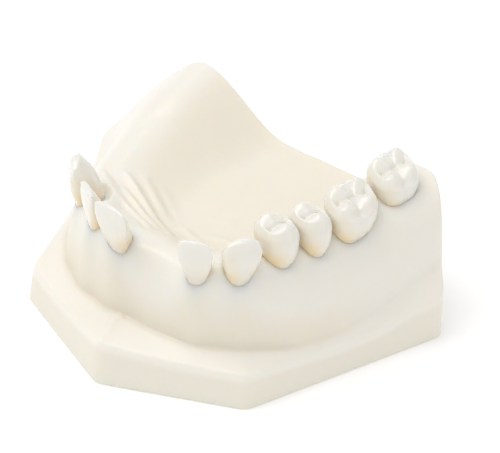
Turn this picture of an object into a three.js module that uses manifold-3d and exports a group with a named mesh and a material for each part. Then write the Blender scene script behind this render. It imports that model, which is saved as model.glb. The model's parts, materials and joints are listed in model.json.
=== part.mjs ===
// Partially edentulous upper teaching jaw (typodont) standing teeth-up on an angle-trimmed base.
// Millimetres, +Z up. Front of the mouth faces -Y, the wearer's right side is +X.
// The origin is at the middle of the flat underside.
import * as THREE from 'three';
import { mergeVertices } from 'three/addons/utils/BufferGeometryUtils.js';
import Module from 'manifold-3d';

const wasm = await Module();
wasm.setup();

// ---- Driving dimensions ----

// Base outline at the underside. The right half is given; the left half mirrors it.
const FRONT_POINT = [0, -30.7];
const CANINE_CORNER = [25.0, -19.6];
const SIDE_CORNER = [39.2, 19.4];
const HEEL_CORNER = [28.0, 30.4];
const CORNER_ROUND = 1.6;
// The front and side walls lean in by this share of the plan; the heel and back walls stand upright.
const WALL_TAPER = 0.02;
// Y where the lean has faded out, and the length over which it fades.
const TAPER_END = 19;
const TAPER_FADE = 8;
const OUTLINE_STEP = 3.6;
// Rings of the moulded surface from the hub to the crest, down the outer wall, and across the ledge.
const ZONE_RINGS = [9, 9, 4];
// Fine samples along each spoke, and the latest shares of it where the crest and the foot may lie.
const SPOKE_SAMPLES = 240;
const LATEST_CREST = 0.8;
const LATEST_FOOT = 0.96;

// Middle line of the ridge: one cubic from the midline to the right heel, mirrored to the left.
const RIDGE_CURVE = [[0, -17.6], [20.2, -17.6], [22.8, -2.5], [25.75, 30.4]];
const HUB = [0, 4.0];

// Ridge stations by place along the ridge: -1 left heel, 0 midline, 1 right heel.
// reach: ridge line to the foot of the outer wall; power: how square the wall's shoulder is;
// land: height at the wall's foot; rim: height of the ledge's edge; slope: width of the inner slope.
const STATIONS = [
  { place: -1.0, crest: 26.4, reach: 12.4, power: 1.5, land: 13.5, rim: 11.0, slope: 20 },
  { place: -0.88, crest: 25.2, reach: 11.4, power: 1.7, land: 12.0, rim: 9.8, slope: 18 },
  { place: -0.77, crest: 22.8, reach: 8.8, power: 2.3, land: 8.8, rim: 6.4, slope: 15 },
  { place: -0.62, crest: 21.0, reach: 7.4, power: 3.0, land: 7.8, rim: 5.6, slope: 14 },
  { place: -0.5, crest: 21.0, reach: 6.4, power: 4.0, land: 8.0, rim: 6.4, slope: 13 },
  { place: -0.38, crest: 22.0, reach: 5.3, power: 7.0, land: 8.5, rim: 6.9, slope: 12 },
  { place: -0.22, crest: 22.4, reach: 4.4, power: 8.0, land: 8.7, rim: 6.7, slope: 11.5 },
  { place: -0.1, crest: 22.6, reach: 3.9, power: 8.0, land: 8.9, rim: 7.6, slope: 11.5 },
  { place: 0.0, crest: 22.2, reach: 3.5, power: 3.4, land: 9.0, rim: 8.5, slope: 11.5 },
  { place: 0.1, crest: 21.9, reach: 3.8, power: 3.0, land: 8.9, rim: 7.6, slope: 11.5 },
  { place: 0.22, crest: 22.6, reach: 4.4, power: 8.0, land: 8.7, rim: 6.7, slope: 11.5 },
  { place: 0.38, crest: 22.6, reach: 5.3, power: 5.4, land: 8.5, rim: 6.7, slope: 12 },
  { place: 0.52, crest: 23.0, reach: 6.8, power: 3.4, land: 8.0, rim: 5.9, slope: 13 },
  { place: 0.64, crest: 23.3, reach: 7.6, power: 3.2, land: 7.6, rim: 5.1, slope: 13 },
  { place: 0.76, crest: 23.9, reach: 8.4, power: 3.5, land: 8.8, rim: 5.6, slope: 13 },
  { place: 0.87, crest: 25.4, reach: 10.4, power: 5.0, land: 12.2, rim: 8.8, slope: 13 },
  { place: 1.0, crest: 25.4, reach: 12.0, power: 6.0, land: 14.5, rim: 11.0, slope: 12.5 },
];
const STATION_VALUES = ['crest', 'reach', 'power', 'land', 'rim', 'slope'];
const CREST_SET_BACK = 1.6;
const VAULT_HEIGHT = 16.8;
const VAULT_FRONT_RISE = 2.6;
const PAPILLA_RISE = 1.3;

// Teeth. edge: plan place of the biting edge or the middle of the chewing face; top: its height;
// facing: plan angle of the outward face; width: mesial to distal; tilt: outward lean of the long axis.
const ROOT_LENGTH = 9.5;
const FIT_GAP = 0.3;
const TEETH = [
  ['right_lateral_incisor', 'incisor', [12.35, -19.1], 30.2, -67, 6.7, 7],
  ['right_canine', 'canine', [18.5, -13.6], 30.5, -33, 7.8, 6],
  ['right_first_premolar', 'premolar', [19.2, -4.9], 30.5, -13, 6.9, 3],
  ['right_second_premolar', 'premolar', [21.7, 1.5], 30.4, -14, 6.2, 3],
  ['right_first_molar', 'molar', [23.9, 10.4], 30.3, -14, 10.4, 3],
  ['right_second_molar', 'molar', [24.8, 21.7], 31.0, -8, 10.0, 3],
  ['left_central_incisor', 'incisor', [-4.9, -21.1], 30.7, -95, 8.1, 9],
  ['left_lateral_incisor', 'incisor', [-12.1, -18.6], 30.3, -121, 6.4, 7],
  ['left_canine', 'canine', [-18.9, -13.5], 30.8, -146, 7.6, 6],
].map(([name, family, edge, top, facing, width, tilt]) => ({ name, family, edge, top, facing, width, tilt }));

// Crown families. Each level is [height from the top as a share of the crown, half width as a share
// of the width, outer half depth, inner half depth]. The root peg tapers from the last level down.
const FAMILIES = {
  incisor: {
    crown: 10.2,
    edgeOffset: 1.6,
    squareness: 2.7,
    levels: [[0.0, 0.46, 1.95, -1.15], [0.1, 0.49, 2.1, -0.75], [0.3, 0.5, 2.35, 0.2],
      [0.62, 0.42, 2.35, 1.4], [0.85, 0.33, 2.1, 2.0], [1.0, 0.31, 1.9, 2.0]],
    neckDepth: 1.85,
    rootEnd: 1.7,
  },
  canine: {
    crown: 9.8,
    edgeOffset: 1.4,
    squareness: 2.5,
    levels: [[0.0, 0.38, 1.8, -0.7], [0.14, 0.46, 2.3, 0.1], [0.35, 0.5, 2.8, 1.4],
      [0.62, 0.43, 2.9, 2.5], [0.85, 0.35, 2.6, 2.9], [1.0, 0.32, 2.3, 2.8]],
    neckDepth: 2.2,
    rootEnd: 1.8,
  },
  premolar: {
    crown: 8.2,
    edgeOffset: 0,
    squareness: 2.3,
    levels: [[0.06, 0.4, 3.0, 3.1], [0.2, 0.47, 3.9, 3.9], [0.42, 0.5, 4.4, 4.3],
      [0.7, 0.46, 4.4, 4.1], [0.88, 0.4, 4.1, 3.7], [1.0, 0.36, 3.7, 3.3]],
    neckDepth: 2.9,
    rootEnd: 1.9,
  },
  molar: {
    crown: 7.6,
    edgeOffset: 0,
    squareness: 2.8,
    skew: 0.3,
    levels: [[0.06, 0.42, 3.7, 3.7], [0.2, 0.48, 4.7, 4.6], [0.42, 0.5, 5.2, 5.0],
      [0.7, 0.47, 5.2, 4.9], [0.88, 0.42, 4.8, 4.5], [1.0, 0.38, 4.3, 4.0]],
    neckDepth: 3.4,
    rootEnd: 2.2,
  },
};
const TOOTH_SIDES = 18;
const RELIEF_FADE = 0.32;
// Shares of the top section that the two rings on the biting edge or chewing face keep.
const TOP_RINGS = [0.62, 0.3];
// Widest half width of the root peg as a share of the tooth's width, and how far below the neck it lies.
const NECK_SHARE = 0.28;
const ROOT_SHOULDER = 3.0;

// Retaining screws: one to a tooth, up its long axis from a counterbore in the underside.
const SCREW_SHANK_RADIUS = 0.8;
const SCREW_HEAD_RADIUS = 1.8;
const SCREW_HEAD_HEIGHT = 1.3;
const SCREW_ENGAGEMENT = 6.0;
const SCREW_RECESS = 1.9;
const SLOT_WIDTH = 0.5;
const SLOT_DEPTH = 0.6;
const SCREW_SIDES = 12;
const HEAD_CHAMFER = 0.35;
const TIP_LENGTH = 0.6;
// Free depth of the root's hole past the screw's tip.
const HOLE_SPARE = 0.8;

// ---- Small maths ----

const radians = Math.PI / 180;

/** Slope of a station value, from its neighbours on both sides. */
function stationSlope(index, key) {
  const before = STATIONS[Math.max(0, index - 1)];
  const after = STATIONS[Math.min(STATIONS.length - 1, index + 1)];
  return (after[key] - before[key]) / (after.place - before.place);
}

/** Every station value at a place, on a smooth cubic through the stations. */
function stationAt(place) {
  const at = Math.min(1, Math.max(-1, place));
  const next = Math.max(1, STATIONS.findIndex((station) => station.place >= at));
  const [a, b] = [STATIONS[next - 1], STATIONS[next]];
  const span = b.place - a.place;
  const s = (at - a.place) / span;
  const values = {};
  for (const key of STATION_VALUES) {
    values[key] = (2 * s ** 3 - 3 * s ** 2 + 1) * a[key] + (3 * s ** 2 - 2 * s ** 3) * b[key]
      + (s ** 3 - 2 * s ** 2 + s) * span * stationSlope(next - 1, key)
      + (s ** 3 - s ** 2) * span * stationSlope(next, key);
  }
  return values;
}

/** Smooth 0 to 1 step. */
function step01(value) {
  const share = Math.min(1, Math.max(0, value));
  return share * share * (3 - 2 * share);
}

/** Larger of two values, rounded where they meet. */
function roundedMax(a, b, blend) {
  return (a + b + Math.sqrt((a - b) ** 2 + blend ** 2)) / 2;
}

function hill(distanceX, distanceY, spreadX, spreadY) {
  return Math.exp(-((distanceX / spreadX) ** 2) - (distanceY / spreadY) ** 2);
}

// ---- Outline and ridge in plan ----

/** The whole outline, anticlockwise, with rounded corners and even steps along the sides. */
function baseOutline() {
  const right = [FRONT_POINT, CANINE_CORNER, SIDE_CORNER, HEEL_CORNER];
  const left = right.slice(1).reverse().map(([x, y]) => [-x, y]);
  const corners = [...right, ...left].map(([x, y]) => new THREE.Vector2(x, y));
  const points = [];
  corners.forEach((corner, index) => {
    const before = corners[(index + corners.length - 1) % corners.length];
    const after = corners[(index + 1) % corners.length];
    const entry = corner.clone().add(before.clone().sub(corner).setLength(CORNER_ROUND));
    const exit = corner.clone().add(after.clone().sub(corner).setLength(CORNER_ROUND));
    points.push(...new THREE.QuadraticBezierCurve(entry, corner, exit).getPoints(2));
    const nextEntry = after.clone().add(corner.clone().sub(after).setLength(CORNER_ROUND));
    const count = Math.max(1, Math.round(exit.distanceTo(nextEntry) / OUTLINE_STEP));
    for (let i = 1; i < count; i += 1) points.push(exit.clone().lerp(nextEntry, i / count));
  });
  return points;
}

const outline = baseOutline();
const ridgeCurve = new THREE.CubicBezierCurve(...RIDGE_CURVE.map(([x, y]) => new THREE.Vector2(x, y)));
const ridgePoints = ridgeCurve.getPoints(160);

/** Place along the ridge (-1 to 1) and signed distance outward from its middle line. */
function ridgePlace(x, y) {
  const mirrored = new THREE.Vector2(Math.abs(x), y);
  let nearest = 0;
  ridgePoints.forEach((point, index) => {
    if (point.distanceTo(mirrored) < ridgePoints[nearest].distanceTo(mirrored)) nearest = index;
  });
  const low = Math.max(0, nearest - 1);
  const high = Math.min(ridgePoints.length - 1, nearest + 1);
  const start = ridgePoints[low];
  const along = ridgePoints[high].clone().sub(start);
  const offset = mirrored.clone().sub(start);
  const share = Math.min(1, Math.max(0, offset.dot(along) / along.lengthSq()));
  const place = (low + share * (high - low)) / (ridgePoints.length - 1);
  const outward = (offset.x * along.y - offset.y * along.x) / along.length();
  return { place: x < 0 ? -place : place, outward };
}

/** Distance inward from the nearest side of the outline. */
function rimDistance(x, y) {
  const corners = [FRONT_POINT, CANINE_CORNER, SIDE_CORNER];
  let distance = Infinity;
  for (let i = 0; i < 2; i += 1) {
    const [ax, ay] = corners[i];
    const [bx, by] = corners[i + 1];
    const length = Math.hypot(bx - ax, by - ay);
    const inward = ((by - ay) * (ax - Math.abs(x)) - (bx - ax) * (ay - y)) / length;
    distance = Math.min(distance, inward);
  }
  return Math.max(0, distance);
}

/** Height of the moulded surface: ridge with its inner slope, palate, outer wall and ledge. */
function jawHeight(x, y) {
  const { place, outward } = ridgePlace(x, y);
  const { crest, reach, power, land, rim, slope } = stationAt(place);
  const fromCrest = outward + CREST_SET_BACK;
  const frontRise = VAULT_FRONT_RISE * Math.exp(-(((y + 17) / 8) ** 2));
  const vault = VAULT_HEIGHT + frontRise + PAPILLA_RISE * hill(x, y + 12.5, 2.2, 2.6);
  const inner = crest - (crest - vault) * step01(-fromCrest / slope);
  const share = Math.max(0, fromCrest) / (reach + CREST_SET_BACK);
  const wall = crest - (crest - land) * share ** power;
  const edge = rimDistance(x, y);
  const beyond = Math.max(0, outward - reach);
  const ledge = rim + (land - rim) * (edge / (edge + beyond + 1e-6));
  return roundedMax(fromCrest < 0 ? inner : wall, ledge, 0.8);
}

// ---- Solids ----

/** Closed geometry from rings of equal length between a first and a last single point. */
function ringSolid(first, rings, last) {
  const sides = rings[0].length;
  const positions = [first, ...rings.flat(), last].flatMap((point) => point.toArray());
  const index = [];
  const at = (ring, side) => 1 + ring * sides + (side % sides);
  const end = 1 + rings.length * sides;
  for (let side = 0; side < sides; side += 1) {
    index.push(0, at(0, side + 1), at(0, side));
    index.push(end, at(rings.length - 1, side), at(rings.length - 1, side + 1));
    for (let ring = 0; ring + 1 < rings.length; ring += 1) {
      index.push(at(ring, side), at(ring, side + 1), at(ring + 1, side + 1));
      index.push(at(ring, side), at(ring + 1, side + 1), at(ring + 1, side));
    }
  }
  const geometry = new THREE.BufferGeometry();
  geometry.setAttribute('position', new THREE.Float32BufferAttribute(positions, 3));
  geometry.setIndex(index);
  return geometry;
}

function toSolid(geometry) {
  const bare = geometry.clone();
  bare.deleteAttribute('normal');
  bare.deleteAttribute('uv');
  const merged = mergeVertices(bare);
  return new wasm.Manifold(new wasm.Mesh({
    numProp: 3,
    vertProperties: new Float32Array(merged.attributes.position.array),
    triVerts: new Uint32Array(merged.index.array),
  }));
}

function toGeometry(solid) {
  const mesh = solid.getMesh();
  const geometry = new THREE.BufferGeometry();
  geometry.setAttribute('position', new THREE.BufferAttribute(mesh.vertProperties, 3));
  geometry.setIndex(new THREE.BufferAttribute(mesh.triVerts, 1));
  return geometry;
}

/** Solid cylinder along local Z between two heights. */
function rod(radius, low, high, sides) {
  const geometry = new THREE.CylinderGeometry(radius, radius, high - low, sides);
  return geometry.rotateX(Math.PI / 2).translate(0, 0, (low + high) / 2);
}

// ---- Teeth ----

/** Frame of a tooth: local X is along the arch, Y outward, Z up the long axis, top at Z = 0. */
function toothFrame(tooth) {
  const facing = tooth.facing * radians;
  const tilt = tooth.tilt * radians;
  const outward = new THREE.Vector3(Math.cos(facing), Math.sin(facing), 0);
  const up = outward.clone().multiplyScalar(Math.sin(tilt)).setZ(Math.cos(tilt));
  const along = new THREE.Vector3(outward.y, -outward.x, 0);
  const across = up.clone().cross(along);
  const offset = FAMILIES[tooth.family].edgeOffset;
  const origin = new THREE.Vector3(tooth.edge[0], tooth.edge[1], tooth.top).addScaledVector(across, -offset);
  return new THREE.Matrix4().makeBasis(along, across, up).setPosition(origin);
}

/** Relief of the biting edge or chewing face: height below the top at a local place. */
function relief(tooth, x, y) {
  const half = tooth.width / 2;
  const mesial = (tooth.edge[0] > 0 ? 1 : -1) * x;
  if (tooth.family === 'incisor') return -0.5 * Math.abs(x / half) ** 4 + 0.06 * mesial;
  if (tooth.family === 'canine') return -2.1 * Math.hypot(x / half, 0.16) + 0.3;
  if (tooth.family === 'premolar') {
    const cusps = 2.1 * hill(x, y - 2.7, 2.6, 1.9) + 1.5 * hill(x - 0.3, y + 2.9, 2.4, 1.8);
    return -2.1 + cusps + 0.7 * hill(Math.abs(x) - 0.8 * half, y, 0.8, 2.4);
  }
  const square = mesial - FAMILIES.molar.skew * y;
  const cusps = 2.1 * hill(square - 2.75, y - 3.0, 2.0, 1.8) + 1.9 * hill(square + 2.75, y - 3.0, 1.9, 1.7)
    + 2.4 * hill(square - 2.75, y + 3.0, 2.2, 1.9) + 2.0 * hill(square + 2.75, y + 3.0, 1.9, 1.7);
  return -2.4 + cusps + 0.8 * hill(Math.abs(square) - 0.85 * half, y, 0.9, 3.0);
}

/** One section of a tooth: a rounded rectangle with its own outer and inner depth. */
function toothSection(tooth, halfWidth, outer, inner, height, reliefShare, grow = 0) {
  const { squareness, skew = 0 } = FAMILIES[tooth.family];
  const lean = tooth.edge[0] > 0 ? skew : -skew;
  const middle = (outer - inner) / 2;
  const halfDepth = (outer + inner) / 2;
  const points = [];
  for (let side = 0; side < TOOTH_SIDES; side += 1) {
    const angle = (side / TOOTH_SIDES) * 2 * Math.PI;
    const round = (value) => Math.sign(value) * Math.abs(value) ** (2 / squareness);
    const y = middle + (halfDepth + grow) * round(Math.sin(angle));
    const x = (halfWidth + grow) * round(Math.cos(angle)) + lean * y;
    points.push(new THREE.Vector3(x, y, height + reliefShare * relief(tooth, x, y)));
  }
  return points;
}

/** Crown and root peg in the tooth's own frame, grown by a gap when it cuts its socket. */
function toothBody(tooth, grow = 0) {
  const family = FAMILIES[tooth.family];
  const neckWidth = Math.min(NECK_SHARE * tooth.width, family.neckDepth);
  const bottom = -family.crown - ROOT_LENGTH - grow;
  const shoulder = -family.crown - ROOT_SHOULDER;
  const rings = [
    toothSection(tooth, family.rootEnd, family.rootEnd, family.rootEnd, bottom, 0, grow),
    toothSection(tooth, neckWidth, family.neckDepth, family.neckDepth, shoulder, 0, grow),
  ];
  [...family.levels].reverse().forEach(([share, halfWidth, outer, inner]) => {
    const fade = step01((RELIEF_FADE - share) / RELIEF_FADE + 0.2);
    rings.push(toothSection(tooth, halfWidth * tooth.width, outer, inner, -share * family.crown, fade, grow));
  });
  const [, topWidth, topOuter, topInner] = family.levels[0];
  const middle = (topOuter - topInner) / 2;
  const halfDepth = (topOuter + topInner) / 2;
  for (const shrink of TOP_RINGS) {
    const outer = middle + halfDepth * shrink;
    const inner = halfDepth * shrink - middle;
    rings.push(toothSection(tooth, topWidth * tooth.width * shrink, outer, inner, 0, 1, grow));
  }
  const top = new THREE.Vector3(0, middle, relief(tooth, 0, middle) + grow);
  return ringSolid(new THREE.Vector3(0, 0, bottom), rings, top);
}

/** How the screw of a tooth lies on that tooth's axis, as local heights. */
function screwHeights(tooth) {
  const tilt = tooth.tilt * radians;
  const headEnd = -(tooth.top - SCREW_RECESS) / Math.cos(tilt);
  const rootEnd = -FAMILIES[tooth.family].crown - ROOT_LENGTH;
  return { headEnd, seat: headEnd + SCREW_HEAD_HEIGHT, tip: rootEnd + SCREW_ENGAGEMENT, rootEnd };
}

function toothGeometry(tooth) {
  const { rootEnd, tip } = screwHeights(tooth);
  const hole = rod(SCREW_SHANK_RADIUS + FIT_GAP, rootEnd - 2, tip + HOLE_SPARE, SCREW_SIDES);
  return toGeometry(toSolid(toothBody(tooth)).subtract(toSolid(hole)));
}

// ---- Screws ----

function screwGeometry(tooth) {
  const { headEnd, seat, tip } = screwHeights(tooth);
  const profile = [
    [0, headEnd], [SCREW_HEAD_RADIUS - HEAD_CHAMFER, headEnd], [SCREW_HEAD_RADIUS, headEnd + HEAD_CHAMFER],
    [SCREW_HEAD_RADIUS, seat], [SCREW_SHANK_RADIUS, seat], [SCREW_SHANK_RADIUS, tip - TIP_LENGTH],
    [SCREW_SHANK_RADIUS * 0.5, tip], [0, tip],
  ].map(([radius, height]) => new THREE.Vector2(radius, height));
  const turned = new THREE.LatheGeometry(profile, SCREW_SIDES).rotateX(Math.PI / 2);
  const slot = new THREE.BoxGeometry(3 * SCREW_HEAD_RADIUS, SLOT_WIDTH, 2 * SLOT_DEPTH);
  return toGeometry(toSolid(turned).subtract(toSolid(slot.translate(0, 0, headEnd))));
}

// ---- Jaw ----

/** Samples along the surface from the hub to one outline point, in zones that end on the features. */
function spoke(outlinePoint) {
  const taper = WALL_TAPER * (1 - step01((outlinePoint.y - TAPER_END + TAPER_FADE) / TAPER_FADE));
  const rim = outlinePoint.clone().multiplyScalar(1 - taper);
  const hub = new THREE.Vector2(...HUB);
  const points = [];
  let crestAt = Math.round(LATEST_CREST * SPOKE_SAMPLES);
  let footAt = Math.round(LATEST_FOOT * SPOKE_SAMPLES);
  for (let i = 0; i <= SPOKE_SAMPLES; i += 1) {
    const plan = hub.clone().lerp(rim, i / SPOKE_SAMPLES);
    points.push(new THREE.Vector3(plan.x, plan.y, jawHeight(plan.x, plan.y)));
    const { place, outward } = ridgePlace(plan.x, plan.y);
    if (outward > -CREST_SET_BACK) crestAt = Math.min(crestAt, i);
    if (outward > stationAt(place).reach) footAt = Math.min(footAt, i);
  }
  const picked = [];
  ZONE_RINGS.forEach((count, zone) => {
    const start = [0, crestAt, footAt][zone];
    const end = [crestAt, footAt, SPOKE_SAMPLES][zone];
    picked.push(...evenPoints(points.slice(start, end + 1), count));
  });
  return picked;
}

/** A number of points spaced evenly along a line of points, past its first and up to its last. */
function evenPoints(points, count) {
  const lengths = [0];
  for (let i = 1; i < points.length; i += 1) lengths.push(lengths[i - 1] + points[i].distanceTo(points[i - 1]));
  const total = lengths[lengths.length - 1];
  const picked = [];
  let index = 1;
  for (let k = 1; k <= count; k += 1) {
    const target = (total * k) / count;
    while (index < points.length - 1 && lengths[index] < target) index += 1;
    const share = (target - lengths[index - 1]) / (lengths[index] - lengths[index - 1]);
    picked.push(points[index - 1].clone().lerp(points[index], Math.min(1, share)));
  }
  return picked;
}

function jawGeometry() {
  const ringCount = ZONE_RINGS.reduce((sum, count) => sum + count);
  const spokes = outline.map(spoke);
  const rings = [outline.map((point) => new THREE.Vector3(point.x, point.y, 0))];
  for (let k = ringCount - 1; k >= 0; k -= 1) rings.push(spokes.map((line) => line[k]));
  const top = new THREE.Vector3(HUB[0], HUB[1], jawHeight(...HUB));
  let solid = toSolid(ringSolid(new THREE.Vector3(0, 0, 0), rings, top));
  for (const tooth of TEETH) {
    const { rootEnd, seat } = screwHeights(tooth);
    const socket = toothBody(tooth, FIT_GAP);
    const shaft = rod(SCREW_SHANK_RADIUS + FIT_GAP, seat - 1, rootEnd + 1, SCREW_SIDES);
    const counterbore = rod(SCREW_HEAD_RADIUS + FIT_GAP, seat - 8, seat + FIT_GAP, SCREW_SIDES);
    for (const cutter of [socket, shaft, counterbore]) {
      solid = solid.subtract(toSolid(cutter.applyMatrix4(toothFrame(tooth))));
    }
  }
  return toGeometry(solid);
}

// ---- Assembly ----

const ivoryPlastic = new THREE.MeshStandardMaterial({ color: 0xece6d6, roughness: 0.42, metalness: 0 });
const toothEnamel = new THREE.MeshStandardMaterial({ color: 0xf5f2e8, roughness: 0.22, metalness: 0 });
const steel = new THREE.MeshStandardMaterial({ color: 0xb9bcc0, roughness: 0.35, metalness: 1 });

const model = new THREE.Group();

function addPiece(name, geometry, material, frame) {
  const mesh = new THREE.Mesh(geometry, material.clone());
  mesh.name = name;
  if (frame) frame.decompose(mesh.position, mesh.quaternion, mesh.scale);
  model.add(mesh);
}

addPiece('jaw_base', jawGeometry(), ivoryPlastic);
for (const tooth of TEETH) {
  addPiece(tooth.name, toothGeometry(tooth), toothEnamel, toothFrame(tooth));
  addPiece(`${tooth.name}_screw`, screwGeometry(tooth), steel, toothFrame(tooth));
}

export default model;
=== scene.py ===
"""Looks of a partly toothless upper teaching jaw whose lift-out teeth are held by screws from below.

Shapes are worked out in millimetres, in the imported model's own frame, and become metres in their mesh.
"""

import json
import math

import bpy
import numpy as np
from mathutils import Matrix, Vector

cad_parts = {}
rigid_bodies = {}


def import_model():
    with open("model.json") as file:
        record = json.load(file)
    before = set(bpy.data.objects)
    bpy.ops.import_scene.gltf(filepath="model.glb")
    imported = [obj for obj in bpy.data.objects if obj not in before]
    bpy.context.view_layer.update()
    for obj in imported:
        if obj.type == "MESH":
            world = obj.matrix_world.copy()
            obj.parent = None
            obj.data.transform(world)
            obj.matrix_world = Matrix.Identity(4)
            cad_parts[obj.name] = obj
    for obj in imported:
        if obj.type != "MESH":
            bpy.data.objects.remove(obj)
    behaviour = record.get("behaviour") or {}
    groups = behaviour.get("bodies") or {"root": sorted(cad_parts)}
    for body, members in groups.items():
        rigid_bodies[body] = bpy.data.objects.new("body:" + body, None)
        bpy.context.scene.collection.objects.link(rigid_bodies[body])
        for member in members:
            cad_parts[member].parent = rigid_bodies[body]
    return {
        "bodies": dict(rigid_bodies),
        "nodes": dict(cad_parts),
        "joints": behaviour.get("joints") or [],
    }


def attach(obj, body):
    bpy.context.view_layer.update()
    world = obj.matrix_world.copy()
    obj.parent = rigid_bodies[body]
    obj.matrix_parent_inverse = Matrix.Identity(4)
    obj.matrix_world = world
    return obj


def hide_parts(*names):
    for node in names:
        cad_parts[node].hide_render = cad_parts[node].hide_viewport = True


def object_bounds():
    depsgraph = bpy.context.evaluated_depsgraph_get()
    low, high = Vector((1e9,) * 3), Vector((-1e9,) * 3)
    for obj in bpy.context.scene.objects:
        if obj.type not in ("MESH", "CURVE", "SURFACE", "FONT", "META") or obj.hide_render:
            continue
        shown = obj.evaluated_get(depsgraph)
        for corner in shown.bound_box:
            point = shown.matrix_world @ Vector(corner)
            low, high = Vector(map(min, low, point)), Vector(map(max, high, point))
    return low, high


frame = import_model()
cad_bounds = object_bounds()

MM = 0.001

# ---- Camera ----

CAMERA_AZIMUTH = math.radians(36.1)
CAMERA_ELEVATION = math.radians(36.3)
CAMERA_ROLL = math.radians(2.39)
CAMERA_DISTANCE = 0.5794
CAMERA_ASIDE = 0.0079
CAMERA_RAISE = 0.0015
CAMERA_LENS = 233.64
SENSOR_WIDTH = 36.0


def view_axes():
    """Camera right, up and back, before it rolls, from its azimuth and elevation."""
    azimuth, elevation = CAMERA_AZIMUTH, CAMERA_ELEVATION
    back = Vector((
        math.sin(azimuth) * math.cos(elevation),
        -math.cos(azimuth) * math.cos(elevation),
        math.sin(elevation),
    ))
    right = Vector((math.cos(azimuth), math.sin(azimuth), 0.0))
    return right, back.cross(right), back


def add_camera():
    """A long lens aimed beside the middle of the part's box, rolled a little clockwise."""
    right, up, back = view_axes()
    middle = (cad_bounds[0] + cad_bounds[1]) / 2
    place = middle + back * CAMERA_DISTANCE + right * CAMERA_ASIDE + up * CAMERA_RAISE
    across = right * math.cos(CAMERA_ROLL) + up * math.sin(CAMERA_ROLL)
    lens = bpy.data.cameras.new("camera")
    lens.lens = CAMERA_LENS
    lens.sensor_width = SENSOR_WIDTH
    lens.sensor_fit = "HORIZONTAL"
    lens.clip_end = 20.0
    camera = bpy.data.objects.new("camera", lens)
    turned = Matrix((across, back.cross(across), back)).transposed().to_4x4()
    camera.matrix_world = Matrix.Translation(place) @ turned
    bpy.context.scene.collection.objects.link(camera)
    bpy.context.scene.camera = camera


add_camera()

# ---- Small maths ----


def step01(value):
    """Smooth 0 to 1 step: 3 s squared less 2 s cubed."""
    share = np.clip(value, 0.0, 1.0)
    return share * share * (3.0 - 2.0 * share)


def rounded_max(a, b, blend):
    """Larger of two values, rounded where they meet."""
    return (a + b + np.sqrt((a - b) ** 2 + blend**2)) / 2


def bump_of(distance, spread):
    """Bell curve: e to the minus square of distance over spread."""
    return np.exp(-((distance / spread) ** 2))


def hill(x, y, spread_x, spread_y):
    """Product of two bell curves."""
    return np.exp(-((x / spread_x) ** 2) - (y / spread_y) ** 2)


def smooth_curve(at, knots, values):
    """Cubic through the knots, each knot's slope being that of the line between its neighbours."""
    knots = np.asarray(knots, float)
    values = np.asarray(values, float)
    at = np.clip(at, knots[0], knots[-1])
    last = len(knots) - 1
    before = np.maximum(np.arange(len(knots)) - 1, 0)
    after = np.minimum(np.arange(len(knots)) + 1, last)
    slopes = (values[after] - values[before]) / (knots[after] - knots[before])
    i = np.clip(np.searchsorted(knots, at) - 1, 0, last - 1)
    span = knots[i + 1] - knots[i]
    s = (at - knots[i]) / span
    rise = 3 * s**2 - 2 * s**3
    return (
        (1 - rise) * values[i]
        + rise * values[i + 1]
        + (s**3 - 2 * s**2 + s) * span * slopes[i]
        + (s**3 - s**2) * span * slopes[i + 1]
    )


# ---- Teeth: families, places and frames ----

ROOT_LENGTH = 9.5
ROOT_SHOULDER = 3.0
NECK_SHARE = 0.28
FIT_GAP = 0.025
RELIEF_FADE = 0.32

# Each level is a share of the crown down from the top, half the width as a share of it, and the
# outer and inner half depths.
FAMILIES = {
    "incisor": {
        "crown": 10.2,
        "squareness": 2.4,
        "outer_squareness": 4.2,
        "pinch": 0.3,
        "skew": 0.0,
        "levels": [
            (0.0, 0.46, 1.95, -1.15),
            (0.1, 0.49, 2.1, -0.75),
            (0.3, 0.5, 2.35, 0.2),
            (0.62, 0.42, 2.35, 1.4),
            (0.85, 0.33, 2.1, 2.0),
            (1.0, 0.31, 1.9, 2.0),
        ],
        "neck": 1.85,
        "root_end": 1.7,
    },
    "canine": {
        "crown": 9.8,
        "squareness": 2.3,
        "outer_squareness": 3.0,
        "pinch": 0.22,
        "skew": 0.0,
        "levels": [
            (0.0, 0.38, 1.8, -0.7),
            (0.14, 0.46, 2.3, 0.1),
            (0.35, 0.5, 2.8, 1.4),
            (0.62, 0.43, 2.9, 2.5),
            (0.85, 0.35, 2.6, 2.9),
            (1.0, 0.32, 2.3, 2.8),
        ],
        "neck": 2.2,
        "root_end": 1.8,
    },
    "premolar": {
        "crown": 8.2,
        "squareness": 2.3,
        "outer_squareness": 2.3,
        "pinch": 0.0,
        "skew": 0.0,
        "levels": [
            (0.06, 0.4, 3.0, 3.1),
            (0.2, 0.47, 3.9, 3.9),
            (0.42, 0.5, 4.4, 4.3),
            (0.7, 0.46, 4.4, 4.1),
            (0.88, 0.4, 4.1, 3.7),
            (1.0, 0.36, 3.7, 3.3),
        ],
        "neck": 2.9,
        "root_end": 1.9,
    },
    "molar": {
        "crown": 7.6,
        "squareness": 2.5,
        "outer_squareness": 2.6,
        "pinch": 0.0,
        "skew": 0.3,
        "levels": [
            (0.06, 0.42, 3.7, 3.7),
            (0.2, 0.48, 4.7, 4.6),
            (0.42, 0.5, 5.2, 5.0),
            (0.7, 0.47, 5.2, 4.9),
            (0.88, 0.42, 4.8, 4.5),
            (1.0, 0.38, 4.3, 4.0),
        ],
        "neck": 3.4,
        "root_end": 2.2,
    },
}


def node_points(name):
    """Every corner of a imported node's mesh, in millimetres."""
    mesh = frame["nodes"][name].data
    flat = np.empty(3 * len(mesh.vertices))
    mesh.vertices.foreach_get("co", flat)
    return flat.reshape(-1, 3) / MM


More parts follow.
